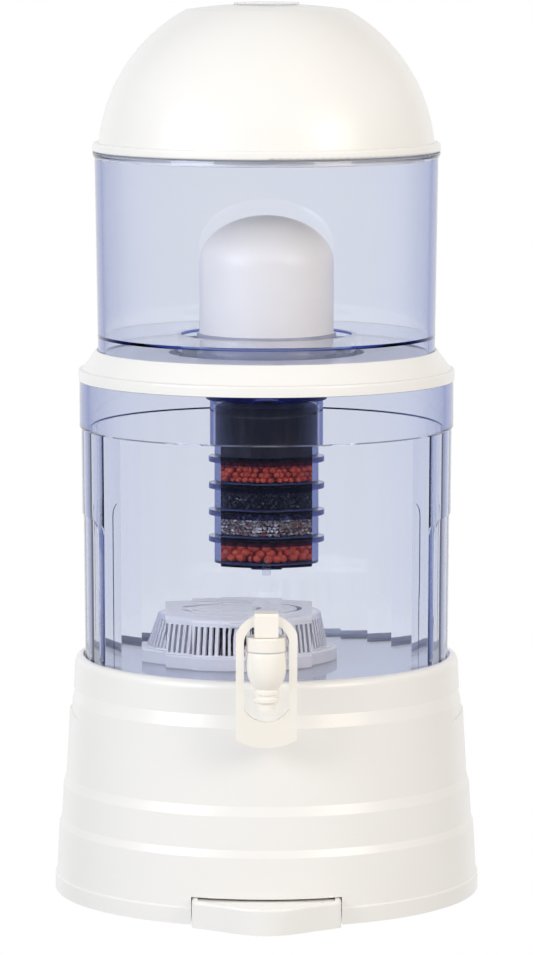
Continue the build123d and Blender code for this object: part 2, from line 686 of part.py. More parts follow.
# Tap bonnet: the cap on the valve body, with the stem's hole and a groove for the lever's nose.
make_ring(
    "tap_bonnet_gasket",
    BULB_TOP_R,
    CHAMBER_BORE_R,
    BULB_TOP_Z,
    BONNET_GASKET_T,
    centre=(0, -SPOUT_REACH),
)
with BuildPart() as tap_bonnet:
    with BuildSketch(Plane.XY.offset(BONNET_Z)):
        with Locations((0, -SPOUT_REACH)):
            Circle(BONNET_R)
    extrude(amount=BONNET_H)
    fillet(tap_bonnet.edges().group_by(Axis.Z)[-1], BONNET_ROUND)
    with BuildSketch(Plane.XY.offset(BONNET_Z)):
        with Locations((0, -SPOUT_REACH)):
            Circle(STEM_ROD_R + RUN_GAP)
    extrude(amount=BONNET_H, mode=Mode.SUBTRACT)
    with BuildSketch(Plane.YZ):
        with Locations((FULCRUM_Y, FULCRUM_Z)):
            Circle(NOSE_R + RUN_GAP)
    extrude(amount=BONNET_R, both=True, mode=Mode.SUBTRACT)
tap_bonnet.part.label = "tap_bonnet"
export_step(tap_bonnet.part, "parts/tap_bonnet.step")

# Tap nozzle: a ringed spout on the valve body's spigot.
with BuildPart() as tap_nozzle:
    groove_top_z = NOZZLE_TOP_Z - NOZZLE_RING_H
    groove_z = groove_top_z - NOZZLE_GROOVE_H
    rings_z = groove_z - NOZZLE_RING_H
    revolve(
        section(
            (SPIGOT_R + FIXED_GAP, NOZZLE_TOP_Z),
            (NOZZLE_RING_R, NOZZLE_TOP_Z),
            (NOZZLE_RING_R, groove_top_z),
            (NOZZLE_NECK_R, groove_top_z),
            (NOZZLE_NECK_R, groove_z),
            (NOZZLE_RING_R, groove_z),
            (NOZZLE_RING_R, rings_z),
            (NOZZLE_R, rings_z),
            (NOZZLE_R, NOZZLE_TOP_Z - NOZZLE_H),
            (NOZZLE_BORE_R, NOZZLE_TOP_Z - NOZZLE_H),
            (NOZZLE_BORE_R, NOZZLE_TOP_Z - SPIGOT_H - FIXED_GAP),
            (SPIGOT_R + FIXED_GAP, NOZZLE_TOP_Z - SPIGOT_H - FIXED_GAP),
            plane=SPOUT_PLANE,
        ),
        axis=SPOUT_AXIS,
    )
    fillet(circles(tap_nozzle.edges(), NOZZLE_RING_R), NOZZLE_RING_ROUND)
tap_nozzle.part.label = "tap_nozzle"
export_step(tap_nozzle.part, "parts/tap_nozzle.step")

# Tap stem and seal: the rod that the lever lifts, with a flat eye on top and a soft plug on the seat.
rod_top_z = BONNET_TOP_Z + RUN_GAP
with BuildPart() as tap_stem:
    with BuildSketch(Plane.XY.offset(SEAT_Z + SEAL_H)):
        with Locations((0, -SPOUT_REACH)):
            Circle(STEM_ROD_R)
    extrude(amount=rod_top_z - SEAT_Z - SEAL_H)
    with BuildSketch(Plane.YZ):
        with Locations((-SPOUT_REACH, (rod_top_z + PIN_Z) / 2)):
            Rectangle(2 * STEM_ROD_R, PIN_Z - rod_top_z)
        with Locations((-SPOUT_REACH, PIN_Z)):
            RectangleRounded(EYE_L, EYE_H, EYE_ROUND)
            SlotCenterToCenter(EYE_PLAY, 2 * (PIN_R + RUN_GAP), mode=Mode.SUBTRACT)
    extrude(amount=EYE_T / 2, both=True)
tap_stem.part.label = "tap_stem"
export_step(tap_stem.part, "parts/tap_stem.step")

with BuildPart() as tap_seal:
    with BuildSketch(Plane.XY.offset(SEAT_Z)):
        with Locations((0, -SPOUT_REACH)):
            Circle(SEAL_R)
    extrude(amount=SEAL_H)
    chamfer(tap_seal.edges().group_by(Axis.Z)[-1], SEAL_CHAMFER)
tap_seal.part.label = "tap_seal"
export_step(tap_seal.part, "parts/tap_seal.step")

# Tap lever: a loop with a paddle at its foot and a block over the bonnet. The block's rounded nose rocks in
# the bonnet's groove, and the pin through the block lifts the stem's eye.
lever_top_z = BONNET_TOP_Z + LEVER_TOP_RISE
lever_foot_z = BONNET_TOP_Z - LEVER_DROP
lever_bend_z = BONNET_TOP_Z - BEND_DROP
block_front = FULCRUM_Y - NOSE_R
lever_top_y = block_front + LEVER_SETBACK
lever_foot_y = lever_top_y + LEVER_SWEEP
lever_bend_y = lever_top_y + BEND_SWEEP
with BuildPart() as tap_lever:
    half_w = LEVER_W / 2
    opening_w = half_w - LEVER_ARM_W
    arch_z = lever_top_z - LEVER_ARCH
    round_z = lever_foot_z + PADDLE_ROUND
    opening_top_z = arch_z - LEVER_ARM_W
    opening_z = lever_foot_z + PADDLE_H + OPENING_ROUND
    with BuildSketch(Plane.XZ.offset(SPOUT_REACH)):
        with BuildLine():
            ThreePointArc((half_w, arch_z), (0, lever_top_z), (-half_w, arch_z))
            Line((-half_w, arch_z), (-half_w, round_z))
            ThreePointArc((-half_w, round_z), (0, lever_foot_z), (half_w, round_z))
            Line((half_w, round_z), (half_w, arch_z))
        make_face()
        fillet(vertices(), LEVER_CORNER_R)
        with BuildLine():
            ThreePointArc(
                (opening_w, opening_top_z),
                (0, lever_top_z - LEVER_ARM_W),
                (-opening_w, opening_top_z),
            )
            Line((-opening_w, opening_top_z), (-opening_w, opening_z))
            ThreePointArc((-opening_w, opening_z), (0, opening_z - OPENING_ROUND), (opening_w, opening_z))
            Line((opening_w, opening_z), (opening_w, opening_top_z))
        make_face(mode=Mode.SUBTRACT)
    extrude(amount=LEVER_W, both=True)
    with BuildSketch(Plane.YZ):
        with BuildLine():
            Polyline(
                (lever_top_y, lever_top_z),
                (lever_bend_y, lever_bend_z),
                (lever_foot_y, lever_foot_z),
                (lever_foot_y + LEVER_T, lever_foot_z),
                (lever_bend_y + LEVER_T, lever_bend_z),
                (lever_top_y + LEVER_T, lever_top_z),
                close=True,
            )
        make_face()
    extrude(amount=LEVER_W, both=True, mode=Mode.INTERSECT)
    block_back = block_front + BLOCK_L
    block_top_z = lever_top_z + BLOCK_PROUD
    with BuildSketch(Plane.YZ):
        with BuildLine():
            Polyline(
                (block_front, FULCRUM_Z),
                (block_front, block_top_z - BLOCK_CHAMFER),
                (block_front + BLOCK_CHAMFER, block_top_z),
                (block_back - BLOCK_CHAMFER, block_top_z),
                (block_back, block_top_z - BLOCK_CHAMFER),
                (block_back, FULCRUM_Z),
                close=True,
            )
        make_face()
        with Locations((FULCRUM_Y, FULCRUM_Z)):
            Circle(NOSE_R)
    extrude(amount=BLOCK_W / 2, both=True)
    with BuildSketch(Plane.YZ):
        slot_front = -SPOUT_REACH - EYE_L / 2 - EYE_ROOM
        slot_top = PIN_Z + EYE_H / 2 + 2 * EYE_ROOM
        with Locations(((slot_front + block_back) / 2, (FULCRUM_Z + slot_top) / 2)):
            Rectangle(block_back - slot_front, slot_top - FULCRUM_Z)
    extrude(amount=EYE_T / 2 + RUN_GAP, both=True, mode=Mode.SUBTRACT)
    with BuildSketch(Plane.YZ):
        with Locations((-SPOUT_REACH, PIN_Z)):
            Circle(PIN_R + FIXED_GAP)
    extrude(amount=BLOCK_W, both=True, mode=Mode.SUBTRACT)
tap_lever.part.label = "tap_lever"
export_step(tap_lever.part, "parts/tap_lever.step")

with BuildPart() as tap_lever_pin:
    with BuildSketch(Plane.YZ):
        with Locations((-SPOUT_REACH, PIN_Z)):
            Circle(PIN_R)
    extrude(amount=BLOCK_W / 2, both=True)
tap_lever_pin.part.label = "tap_lever_pin"
export_step(tap_lever_pin.part, "parts/tap_lever_pin.step")

# Middle cover: a white ring whose lip sits round the lower tank's neck, with a coned edge, a recess for the
# upper tank's skirt and a hole for the filter well and the cartridge.
lip_r = band_r + COVER_OVERHANG
lip_inner_r = neck_r + SEAT_GAP
lip_top_z = LOWER_TOP_Z + COVER_LIP_RISE
seat_r = UPPER_R + SEAT_GAP
cone_foot_r = lip_r - COVER_LIP_W
with BuildPart() as middle_cover:
    revolve(
        section(
            (lip_inner_r, SHOULDER_Z + RUN_GAP),
            (lip_r, SHOULDER_Z + RUN_GAP),
            (lip_r, lip_top_z),
            (cone_foot_r, lip_top_z + COVER_CREASE),
            (seat_r + COVER_EDGE, COVER_TOP_Z),
            (seat_r, COVER_TOP_Z),
            (seat_r, COVER_SEAT_Z),
            (COVER_HOLE_R, COVER_SEAT_Z),
            (COVER_HOLE_R, COVER_SEAT_Z - PLASTIC_WALL),
            (seat_r - PLASTIC_WALL, COVER_SEAT_Z - PLASTIC_WALL),
            (neck_r - 2 * PLASTIC_WALL, LOWER_TOP_Z),
            (lip_inner_r, LOWER_TOP_Z),
        ),
        axis=Axis.Z,
    )
    fillet(circles(middle_cover.edges(), lip_r)[-1], COVER_LIP_ROUND)
middle_cover.part.label = "middle_cover"
export_step(middle_cover.part, "parts/middle_cover.step")

# Upper tank: one clear moulding with a skirt, a floor, a round well for the filter's base and a flared lip.
upper_floor_under_z = UPPER_FLOOR_Z - UPPER_FLOOR_T
lip_foot_z = UPPER_TOP_Z - UPPER_LIP_H
upper_lip_r = upper_outer_r(lip_foot_z) + UPPER_LIP_STEP
upper_inner_r = upper_outer_r(UPPER_FLOOR_Z) - TANK_WALL
upper_inner_top_r = upper_outer_r(UPPER_TOP_Z) - TANK_WALL
well_outer_r = WELL_R + WELL_T
with BuildPart() as upper_tank:
    revolve(
        section(
            (well_outer_r, WELL_UNDER_Z),
            (well_outer_r, upper_floor_under_z),
            (UPPER_R - TANK_WALL, upper_floor_under_z),
            (UPPER_R - TANK_WALL, COVER_SEAT_Z),
            (UPPER_R, COVER_SEAT_Z),
            (upper_outer_r(lip_foot_z), lip_foot_z),
            (upper_lip_r, UPPER_TOP_Z - UPPER_LIP_STEP),
            (upper_lip_r, UPPER_TOP_Z),
            (upper_inner_top_r, UPPER_TOP_Z),
            (upper_inner_r, UPPER_FLOOR_Z),
            (WELL_R, UPPER_FLOOR_Z),
            (WELL_R, WELL_FLOOR_Z),
            (STEM_R + FIXED_GAP, WELL_FLOOR_Z),
            (STEM_R + FIXED_GAP, WELL_UNDER_Z),
        ),
        axis=Axis.Z,
    )
upper_tank.part.label = "upper_tank"
export_step(upper_tank.part, "parts/upper_tank.step")

# Ceramic dome filter: a hollow ceramic dome on a plastic base, whose hollow stem goes down through the well
# and is clamped by a gasket, a washer and a wing nut.
make_ring("ceramic_gasket", GASKET_R, STEM_R + FIXED_GAP, WELL_FLOOR_Z, GASKET_T)
make_ring("stem_washer", WASHER_R, STEM_R + FIXED_GAP, WELL_UNDER_Z - WASHER_T, WASHER_T)

stem_foot_z = WELL_UNDER_Z - STEM_BELOW
waist_r = CERAMIC_R - BASE_WAIST_STEP
with BuildPart() as ceramic_base:
    revolve(
        section(
            (STEM_BORE_R, stem_foot_z),
            (STEM_R, stem_foot_z),
            (STEM_R, BASE_Z),
            (BASE_FOOT_R, BASE_Z),
            (BASE_FOOT_R, BASE_Z + BASE_FOOT_H),
            (waist_r, BASE_Z + BASE_FOOT_H + BASE_WAIST_STEP),
            (waist_r, CERAMIC_Z - BASE_LIP_H),
            (BASE_FOOT_R, CERAMIC_Z - BASE_LIP_H),
            (BASE_FOOT_R, CERAMIC_Z),
            (STEM_BORE_R, CERAMIC_Z),
        ),
        axis=Axis.Z,
    )
ceramic_base.part.label = "ceramic_base"
export_step(ceramic_base.part, "parts/ceramic_base.step")


def dome_section(radius, cap_h):
    """Half of a round-topped section that stands on the ceramic's base, with an oval cap."""
    cap_z = CERAMIC_Z + CERAMIC_H - CERAMIC_CAP_H
    cap_top_z = cap_z + cap_h
    quarter_turn_weights = [1, cos(radians(45)), 1]
    with BuildSketch(Plane.XZ) as drawn:
        with BuildLine():
            Polyline((0, cap_top_z), (0, CERAMIC_Z), (radius, CERAMIC_Z), (radius, cap_z))
            Bezier((radius, cap_z), (radius, cap_top_z), (0, cap_top_z), weights=quarter_turn_weights)
        make_face()
    return drawn.sketch.faces()


with BuildPart() as ceramic_dome:
    revolve(dome_section(CERAMIC_R, CERAMIC_CAP_H), axis=Axis.Z)
    hollow = dome_section(CERAMIC_R - CERAMIC_WALL, CERAMIC_CAP_H - CERAMIC_WALL)
    revolve(hollow, axis=Axis.Z, mode=Mode.SUBTRACT)
ceramic_dome.part.label = "ceramic_dome"
export_step(ceramic_dome.part, "parts/ceramic_dome.step")

with BuildPart() as wing_nut:
    with BuildSketch(Plane.XY.offset(WELL_UNDER_Z - WASHER_T - WING_NUT_H)):
        Circle(WING_NUT_R)
        SlotOverall(WING_SPAN, WING_T)
        Circle(STEM_R + FIXED_GAP, mode=Mode.SUBTRACT)
    extrude(amount=WING_NUT_H)
wing_nut.part.label = "wing_nut"
export_step(wing_nut.part, "parts/wing_nut.step")

# Cartridge: a clear cap screwed on the stem, a carbon chamber and four stacked media cups with a
# drip outlet.
cup_inner_r = CUP_R - CUP_WALL
neck_bore_r = STEM_R + RUN_GAP
spigot_r = CUP_R - CUP_WALL - FIXED_GAP
oring_z = NECK_TOP_Z - CAP_NECK_H / 2
with BuildPart() as cartridge_cap:
    revolve(
        section(
            (neck_bore_r, CHAMBER_TOP_Z),
            (spigot_r - CUP_WALL, CHAMBER_TOP_Z),
            (spigot_r - CUP_WALL, CHAMBER_TOP_Z - CAP_SPIGOT_H),
            (spigot_r, CHAMBER_TOP_Z - CAP_SPIGOT_H),
            (spigot_r, CHAMBER_TOP_Z),
            (CAP_R, CHAMBER_TOP_Z),
            (CAP_R, CAP_TOP_Z),
            (CAP_NECK_R, CAP_TOP_Z),
            (CAP_NECK_R, NECK_TOP_Z),
            (neck_bore_r, NECK_TOP_Z),
            (neck_bore_r, oring_z + ORING_T),
            (neck_bore_r + ORING_T, oring_z + ORING_T),
            (neck_bore_r + ORING_T, oring_z),
            (neck_bore_r, oring_z),
        ),
        axis=Axis.Z,
    )
cartridge_cap.part.label = "cartridge_cap"
export_step(cartridge_cap.part, "parts/cartridge_cap.step")
make_ring("cartridge_oring", neck_bore_r + ORING_T, neck_bore_r, oring_z, ORING_T)

with BuildPart() as carbon_chamber:
    with BuildSketch(Plane.XY.offset(CHAMBER_Z)):
        Circle(CUP_R)
    extrude(amount=CHAMBER_H)
    with BuildSketch(Plane.XY.offset(CHAMBER_Z + CUP_FLOOR)):
        Circle(CUP_R - CUP_WALL)
    extrude(amount=CHAMBER_H - CUP_FLOOR, mode=Mode.SUBTRACT)
    with BuildSketch(Plane.XY.offset(CHAMBER_Z)):
        with PolarLocations(DRAIN_RING_R, DRAIN_COUNT):
            Circle(DRAIN_R)
    extrude(amount=CUP_FLOOR, mode=Mode.SUBTRACT)
carbon_chamber.part.label = "carbon_chamber"
export_step(carbon_chamber.part, "parts/carbon_chamber.step")
make_bed(
    "carbon_bed",
    CARBON_R,
    CHAMBER_Z + CUP_FLOOR,
    CHAMBER_H - CUP_FLOOR - CAP_SPIGOT_H - MEDIA_HEADROOM,
)

for number, media in enumerate(MEDIA, start=1):
    cup_top_z = CHAMBER_Z - (number - 1) * CUP_PITCH
    cup_z = cup_top_z - CUP_PITCH
    with BuildPart() as stage_cup:
        with BuildSketch(Plane.XY.offset(cup_z)):
            Circle(CUP_R)
        extrude(amount=CUP_PITCH)
        with BuildSketch(Plane.XY.offset(cup_top_z - FLANGE_H)):
            Circle(FLANGE_R)
        extrude(amount=FLANGE_H)
        with BuildSketch(Plane.XY.offset(cup_z + CUP_FLOOR)):
            Circle(cup_inner_r)
        extrude(amount=CUP_PITCH - CUP_FLOOR, mode=Mode.SUBTRACT)
        with BuildSketch(Plane.XY.offset(cup_z)):
            with PolarLocations(DRAIN_RING_R, DRAIN_COUNT):
                Circle(DRAIN_R)
        extrude(amount=CUP_FLOOR, mode=Mode.SUBTRACT)
    stage_cup.part.label = f"stage_cup_{number}"
    export_step(stage_cup.part, f"parts/stage_cup_{number}.step")
    media_r = cup_inner_r - FIXED_GAP
    make_bed(f"media_pad_{number}", media_r, cup_z + CUP_FLOOR, PAD_T)
    make_bed(media, media_r, cup_z + CUP_FLOOR + PAD_T, CUP_PITCH - CUP_FLOOR - PAD_T - MEDIA_HEADROOM)

with BuildPart() as cartridge_outlet:
    with BuildSketch(Plane.XY.offset(OUTLET_Z)):
        Circle(OUTLET_R)
    extrude(amount=OUTLET_H)
    with BuildSketch(Plane.XY.offset(OUTLET_Z + CUP_FLOOR)):
        Circle(OUTLET_R - CUP_WALL)
    extrude(amount=OUTLET_H - CUP_FLOOR, mode=Mode.SUBTRACT)
    with BuildSketch(Plane.XY.offset(OUTLET_Z)):
        with PolarLocations(OUTLET_RING_R, DRAIN_COUNT):
            Circle(DRAIN_R)
    extrude(amount=CUP_FLOOR, mode=Mode.SUBTRACT)
    with BuildSketch(Plane.XY.offset(OUTLET_Z - TIP_H)):
        Circle(TIP_R)
    extrude(amount=TIP_H)
cartridge_outlet.part.label = "cartridge_outlet"
export_step(cartridge_outlet.part, "parts/cartridge_outlet.step")

# Lid: a white dome with a rim bead on the tank's lip, a short locating skirt and a shallow crown, which
# has a clear disc let into its middle.
bead_top_z = UPPER_TOP_Z + LID_BEAD_H
crown_z = UPPER_TOP_Z + CROWN_H
crown_top_z = crown_z + CROWN_RISE
skirt_r = upper_inner_top_r - SEAT_GAP
with BuildPart() as lid_dome:
    with BuildSketch(Plane.XZ):
        with BuildLine():
            Polyline(
                (0, UPPER_TOP_Z - LID_SKIRT_H),
                (skirt_r, UPPER_TOP_Z - LID_SKIRT_H),
                (skirt_r, UPPER_TOP_Z),
                (upper_lip_r, UPPER_TOP_Z),
                (upper_lip_r, bead_top_z),
                (LID_DOME_R, bead_top_z),
            )
            RadiusArc((LID_DOME_R, bead_top_z), (CROWN_R, crown_z), -LID_DOME_R)
            RadiusArc(
                (CROWN_R, crown_z),
                (0, crown_top_z),
                -(CROWN_R**2 + CROWN_RISE**2) / (2 * CROWN_RISE),
            )
            Line((0, crown_top_z), (0, UPPER_TOP_Z - LID_SKIRT_H))
        make_face()
    revolve(axis=Axis.Z)
    fillet(circles(lid_dome.edges(), upper_lip_r), LID_BEAD_ROUND)
    with BuildSketch(Plane.XZ):
        hollow_foot_r = skirt_r - PLASTIC_WALL
        hollow_crown_z = crown_z - PLASTIC_WALL
        with BuildLine():
            Polyline(
                (0, hollow_crown_z),
                (0, UPPER_TOP_Z - LID_SKIRT_H),
                (hollow_foot_r, UPPER_TOP_Z - LID_SKIRT_H),
                (hollow_foot_r, bead_top_z),
            )
            RadiusArc((hollow_foot_r, bead_top_z), (CROWN_R, hollow_crown_z), -LID_DOME_R)
            Line((CROWN_R, hollow_crown_z), (0, hollow_crown_z))
        make_face()
    revolve(axis=Axis.Z, mode=Mode.SUBTRACT)
    with BuildSketch(Plane.XY.offset(crown_top_z + DISC_PROUD - DISC_T)):
        Circle(DISC_R + FIXED_GAP)
    extrude(amount=DISC_T, mode=Mode.SUBTRACT)
lid_dome.part.label = "lid_dome"
export_step(lid_dome.part, "parts/lid_dome.step")

make_bed("lid_crown_disc", DISC_R, crown_top_z + DISC_PROUD - DISC_T, DISC_T)
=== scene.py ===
import math
import random

import bpy
from mathutils import Euler, Matrix, Vector


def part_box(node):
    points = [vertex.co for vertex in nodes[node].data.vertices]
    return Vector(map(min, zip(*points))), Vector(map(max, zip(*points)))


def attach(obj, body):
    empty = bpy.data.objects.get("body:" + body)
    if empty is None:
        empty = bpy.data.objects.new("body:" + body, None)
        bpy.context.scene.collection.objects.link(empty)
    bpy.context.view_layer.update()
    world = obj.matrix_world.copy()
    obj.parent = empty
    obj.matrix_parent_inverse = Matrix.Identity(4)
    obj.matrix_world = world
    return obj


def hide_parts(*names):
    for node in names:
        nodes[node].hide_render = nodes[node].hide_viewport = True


# Gravity water filter on a white table. Sizes are in metres, and every piece keeps the place that the packed
# model gives it.
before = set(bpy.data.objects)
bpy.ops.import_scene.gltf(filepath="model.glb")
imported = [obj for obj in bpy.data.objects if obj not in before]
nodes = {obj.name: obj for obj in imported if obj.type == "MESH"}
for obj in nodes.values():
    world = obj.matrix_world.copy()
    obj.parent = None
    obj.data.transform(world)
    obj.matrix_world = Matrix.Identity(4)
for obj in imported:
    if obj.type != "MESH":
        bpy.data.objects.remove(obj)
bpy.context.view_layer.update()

# Stand, drip tray, middle cover and lid: mouldings in a warm white plastic, glossy from polished moulds, with
# only a faint long-wave ripple. The tray slides in the stand, and the cover and the lid rest on the tanks.
WARM_WHITE = (0.875, 0.871, 0.862)
WARM_WHITE_DEEP = (0.860, 0.855, 0.844)


def start_material(name):
    material = bpy.data.materials.new(name)
    material.use_nodes = True
    return material, material.node_tree, material.node_tree.nodes["Principled BSDF"]


def noise_on(tree, scale, detail=2.0, stretch=(1.0, 1.0, 1.0)):
    coords = tree.nodes.new("ShaderNodeTexCoord")
    mapping = tree.nodes.new("ShaderNodeMapping")
    mapping.inputs["Scale"].default_value = stretch
    noise = tree.nodes.new("ShaderNodeTexNoise")
    noise.inputs["Scale"].default_value = scale
    noise.inputs["Detail"].default_value = detail
    tree.links.new(coords.outputs["Object"], mapping.inputs["Vector"])
    tree.links.new(mapping.outputs["Vector"], noise.inputs["Vector"])
    return noise.outputs["Fac"]


def ramp_from(tree, source, *stops, interpolation="LINEAR"):
    ramp = tree.nodes.new("ShaderNodeValToRGB")
    ramp.color_ramp.interpolation = interpolation
    while len(ramp.color_ramp.elements) < len(stops):
        ramp.color_ramp.elements.new(1.0)
    for element, (place, colour) in zip(ramp.color_ramp.elements, stops):
        element.position = place
        element.color = (*colour, 1.0)
    tree.links.new(source, ramp.inputs["Fac"])
    return ramp.outputs["Color"]


def colour_by(tree, shader, source, *stops, interpolation="LINEAR"):
    colours = ramp_from(tree, source, *stops, interpolation=interpolation)
    tree.links.new(colours, shader.inputs["Base Color"])


def bump_from(tree, shader, source, depth):
    bump = tree.nodes.new("ShaderNodeBump")
    bump.inputs["Distance"].default_value = depth
    tree.links.new(source, bump.inputs["Height"])
    tree.links.new(bump.outputs["Normal"], shader.inputs["Normal"])


def dress(material, *names):
    for name in names:
        for slot in nodes[name].material_slots:
            slot.material = material


white_plastic, tree, shader = start_material("white_plastic_gloss")
ripple = noise_on(tree, scale=9.0)
colour_by(tree, shader, ripple, (0.3, WARM_WHITE_DEEP), (0.7, WARM_WHITE))
shader.inputs["Roughness"].default_value = 0.35
shader.inputs["IOR"].default_value = 1.53
shader.inputs["Subsurface Weight"].default_value = 0.08
shader.inputs["Subsurface Radius"].default_value = (0.004, 0.0035, 0.003)
shader.inputs["Subsurface Scale"].default_value = 1.0
shader.inputs["Coat Weight"].default_value = 0.3
shader.inputs["Coat Roughness"].default_value = 0.22
bump_from(tree, shader, ripple, depth=0.0002)
dress(white_plastic, "stand", "drip_tray", "middle_cover", "lid_dome")

# Tap: the valve body, its screwed bonnet, the ringed nozzle, the clamp nut and the loop lever.
# They are moulded in a creamier batch of the same plastic, with a little less gloss.
CREAM = (0.905, 0.876, 0.825)
CREAM_DEEP = (0.890, 0.859, 0.804)
cream_plastic, tree, shader = start_material("cream_plastic")
colour_by(tree, shader, noise_on(tree, scale=30.0), (0.3, CREAM_DEEP), (0.7, CREAM))
shader.inputs["Roughness"].default_value = 0.4
shader.inputs["IOR"].default_value = 1.53
dress(cream_plastic, "tap_body", "tap_bonnet", "tap_nozzle", "tap_lever", "tap_nut")

# Lower tank and upper tank: clear mouldings in a pale blue tinted plastic, polished inside and out.
# The tint is in the plastic itself, so thin walls stay pale and long ways through a rim or a floor turn navy.
NEARLY_CLEAR = (0.985, 0.988, 0.995)
CLEAR = (1.0, 1.0, 1.0)
TANK_ROUGHNESS = 0.0
TANK_TINT = (0.034, 0.20, 0.66)
TANK_TINT_DENSITY = 27.0
TANK_LAMP_TINT = (0.90, 0.905, 0.93)


def let_lamps_through(tree, shader, tint):
    rays = tree.nodes.new("ShaderNodeLightPath")
    clear = tree.nodes.new("ShaderNodeBsdfTransparent")
    clear.inputs["Color"].default_value = (*tint, 1.0)
    mix = tree.nodes.new("ShaderNodeMixShader")
    output = tree.nodes["Material Output"]
    tree.links.new(rays.outputs["Is Shadow Ray"], mix.inputs["Fac"])
    tree.links.new(shader.outputs["BSDF"], mix.inputs[1])
    tree.links.new(clear.outputs["BSDF"], mix.inputs[2])
    tree.links.new(mix.outputs["Shader"], output.inputs["Surface"])


def make_clear(tree, shader, roughness, tint, density, lamp_tint):
    shader.inputs["Roughness"].default_value = roughness
    shader.inputs["IOR"].default_value = 1.5
    shader.inputs["Transmission Weight"].default_value = 1.0
    absorption = tree.nodes.new("ShaderNodeVolumeAbsorption")
    absorption.inputs["Color"].default_value = (*tint, 1.0)
    absorption.inputs["Density"].default_value = density
    output = tree.nodes["Material Output"]
    tree.links.new(absorption.outputs["Volume"], output.inputs["Volume"])
    let_lamps_through(tree, shader, lamp_tint)


tank_plastic, tree, shader = start_material("clear_blue_plastic_tank")
colour_by(tree, shader, noise_on(tree, scale=12.0), (0.3, NEARLY_CLEAR), (0.7, CLEAR))
make_clear(tree, shader, TANK_ROUGHNESS, TANK_TINT, TANK_TINT_DENSITY, TANK_LAMP_TINT)
dress(tank_plastic, "lower_tank", "upper_tank")

# Stage cups: four clear cups stacked under the carbon chamber, moulded in a tinted plastic like the tanks'.
# Each has a thick flange round its top edge, where the tint gathers to navy. A ramp on the height gives that.
CUP_ROUGHNESS = 0.03
CUP_TINT = (0.10, 0.15, 0.55)
CUP_TINT_DENSITY = 75.0
CUP_LAMP_TINT = (0.98, 0.98, 0.985)
FLANGE_NAVY = (0.20, 0.23, 0.44)
FLANGE_H = 0.0036
FLANGE_FADE = 0.02
cup_low, cup_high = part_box("stage_cup_1")
cup_h = cup_high.z - cup_low.z
flange_foot = 1.0 - FLANGE_H / cup_h
cup_plastic, tree, shader = start_material("clear_blue_plastic_cups")
coords = tree.nodes.new("ShaderNodeTexCoord")
cup_steps = tree.nodes.new("ShaderNodeMapping")
cup_steps.inputs["Location"].default_value = (0.0, 0.0, -cup_low.z / cup_h)
cup_steps.inputs["Scale"].default_value = (1.0, 1.0, 1.0 / cup_h)
tree.links.new(coords.outputs["Object"], cup_steps.inputs["Vector"])
axes = tree.nodes.new("ShaderNodeSeparateXYZ")
tree.links.new(cup_steps.outputs["Vector"], axes.inputs["Vector"])
in_cup = tree.nodes.new("ShaderNodeMath")
in_cup.operation = "FRACT"
tree.links.new(axes.outputs["Z"], in_cup.inputs[0])
cup_height = in_cup.outputs["Value"]
colour_by(tree, shader, cup_height, (flange_foot - FLANGE_FADE, NEARLY_CLEAR), (flange_foot, FLANGE_NAVY))
make_clear(tree, shader, CUP_ROUGHNESS, CUP_TINT, CUP_TINT_DENSITY, CUP_LAMP_TINT)
dress(cup_plastic, "stage_cup_1", "stage_cup_2", "stage_cup_3", "stage_cup_4")

# Cartridge cap, carbon chamber and outlet: the mouldings above and below the cups, in one stack with them.
# They are of the cups' plastic, clear all over.
chamber_plastic, tree, shader = start_material("clear_blue_plastic_chamber")
colour_by(tree, shader, noise_on(tree, scale=40.0), (0.3, NEARLY_CLEAR), (0.7, CLEAR))
make_clear(tree, shader, CUP_ROUGHNESS, CUP_TINT, CUP_TINT_DENSITY, CUP_LAMP_TINT)
dress(chamber_plastic, "cartridge_cap", "carbon_chamber", "cartridge_outlet")

# Carbon bed: a black block of pressed carbon that fills the chamber.
# Faint upright grey streaks on its side are painted highlights; the same noise also gives a faint bump.
CARBON_BLACK = (0.004, 0.004, 0.005)
CARBON_HIGHLIGHT_GREY = (0.022, 0.022, 0.026)
carbon, tree, shader = start_material("carbon_block")
painted_highlight_streaks = noise_on(tree, scale=220.0, detail=3.0, stretch=(1.0, 1.0, 0.12))
# The lighter grey of the upright streaks is a painted highlight.
colour_by(tree, shader, painted_highlight_streaks, (0.35, CARBON_BLACK), (0.75, CARBON_HIGHLIGHT_GREY))
shader.inputs["Roughness"].default_value = 0.6
bump_from(tree, shader, painted_highlight_streaks, depth=0.0008)
dress(carbon, "carbon_bed")

# Media pads: thin felt discs under each bed, which keep the grains in their cup.
# They are cut from a dark blue-grey sheet of pressed fibres.
FELT_DARK = (0.026, 0.033, 0.090)
FELT_BLUE = (0.055, 0.066, 0.15)
felt, tree, shader = start_material("felt_dark")
fibres = noise_on(tree, scale=900.0, detail=4.0)
colour_by(tree, shader, fibres, (0.3, FELT_DARK), (0.7, FELT_BLUE))
shader.inputs["Roughness"].default_value = 0.95
bump_from(tree, shader, fibres, depth=0.0004)
dress(felt, "media_pad_1", "media_pad_2", "media_pad_3", "media_pad_4")

# Red ball beds: balls of red-brown clay, rolled and fired, small in the top cup and large in the lowest one.
# They are made a little narrow along the ring, because the tank's thick wall widens what stands behind it.
CLAY_RED = (0.80, 0.120, 0.030)
CLAY_RED_DARK = (0.50, 0.058, 0.020)
NARROWED = 0.74
BALL_PITCH = 2.05
BALL_SIZES = (0.82, 1.0)
BALL_UNEVEN = 0.07
LAYER_PACKING = 0.8
RING_PACKING = 0.9
STAGGER = 0.5
TURN_SCATTER = 0.2
GIVE_SCATTER = 0.3
LIFT_SCATTER = 0.2


def show_only(piece):
    bpy.ops.object.select_all(action="DESELECT")
    piece.select_set(True)
    bpy.context.view_layer.objects.active = piece


